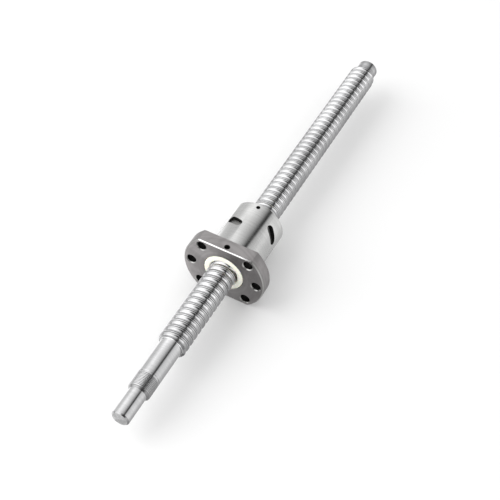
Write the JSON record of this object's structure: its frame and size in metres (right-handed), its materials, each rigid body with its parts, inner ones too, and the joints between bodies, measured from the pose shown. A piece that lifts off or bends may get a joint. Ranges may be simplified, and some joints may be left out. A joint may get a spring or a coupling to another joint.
{
  "type": "ball screw",
  "caption": "Ball screw: rolled right-hand screw with turned journals and a flanged ball nut with flats, wipers and windowed ball returns.",
  "frame": {"origin": "centre of the flat face at the screw's drive end", "axes": "+X along the screw axis to the far end, +Z out of the flange's upper flat, which carries the lubrication hole"},
  "size_m": [0.36, 0.058, 0.044],
  "materials": {
    "screw_steel": "rolled and polished steel, bright on the journals",
    "nut_steel": "ground barrel, darker turned flange",
    "wiper_plastic": "cream moulded plastic",
    "return_steel": "grey sintered steel",
    "ball_steel": "polished bearing steel",
    "dark_steel": "blackened steel"
  },
  "bodies": {
    "screw": {"screw_shaft": "screw_steel"},
    "travel_ring": {"rear_wiper": "wiper_plastic"},
    "nut": {"nut_body": "nut_steel", "front_wiper": "wiper_plastic", "rear_wiper_screw": "dark_steel", "return_insert_1": "return_steel", "return_insert_2": "return_steel", "return_insert_3": "return_steel", "return_insert_4": "return_steel", "ball_pair_1_01": "ball_steel", "ball_pair_1_02": "ball_steel", "ball_pair_1_03": "ball_steel", "ball_pair_1_04": "ball_steel", "ball_pair_1_05": "ball_steel", "ball_pair_1_06": "ball_steel", "ball_pair_1_07": "ball_steel", "ball_pair_1_08": "ball_steel", "ball_pair_1_09": "ball_steel", "ball_pair_1_10": "ball_steel", "ball_pair_2_01": "ball_steel", "ball_pair_2_02": "ball_steel", "ball_pair_2_03": "ball_steel", "ball_pair_2_04": "ball_steel", "ball_pair_2_05": "ball_steel", "ball_pair_2_06": "ball_steel", "ball_pair_2_07": "ball_steel", "ball_pair_2_08": "ball_steel", "ball_pair_2_09": "ball_steel", "ball_pair_2_10": "ball_steel", "ball_pair_3_01": "ball_steel", "ball_pair_3_02": "ball_steel", "ball_pair_3_03": "ball_steel", "ball_pair_3_04": "ball_steel", "ball_pair_3_05": "ball_steel", "ball_pair_3_06": "ball_steel", "ball_pair_3_07": "ball_steel", "ball_pair_3_08": "ball_steel", "ball_pair_3_09": "ball_steel", "ball_pair_3_10": "ball_steel", "ball_pair_4_01": "ball_steel", "ball_pair_4_02": "ball_steel", "ball_pair_4_03": "ball_steel", "ball_pair_4_04": "ball_steel", "ball_pair_4_05": "ball_steel", "ball_pair_4_06": "ball_steel", "ball_pair_4_07": "ball_steel", "ball_pair_4_08": "ball_steel", "ball_pair_4_09": "ball_steel", "ball_pair_4_10": "ball_steel"}
  },
  "joints": [
    {"name": "nut_travel", "type": "slide", "parent": "screw", "child": "travel_ring", "axis": [1, 0, 0], "range_m": [-0.0651, 0.1651]},
    {"name": "nut_turn", "type": "hinge", "parent": "travel_ring", "child": "nut", "pos_m": [0.1268, 0, 0], "axis": [1, 0, 0], "range_deg": [-4680, 11880]}
  ],
  "couplings": [
    {"joint": "nut_travel", "follows": "nut_turn", "m_per_rad": 0.00079577}
  ]
}
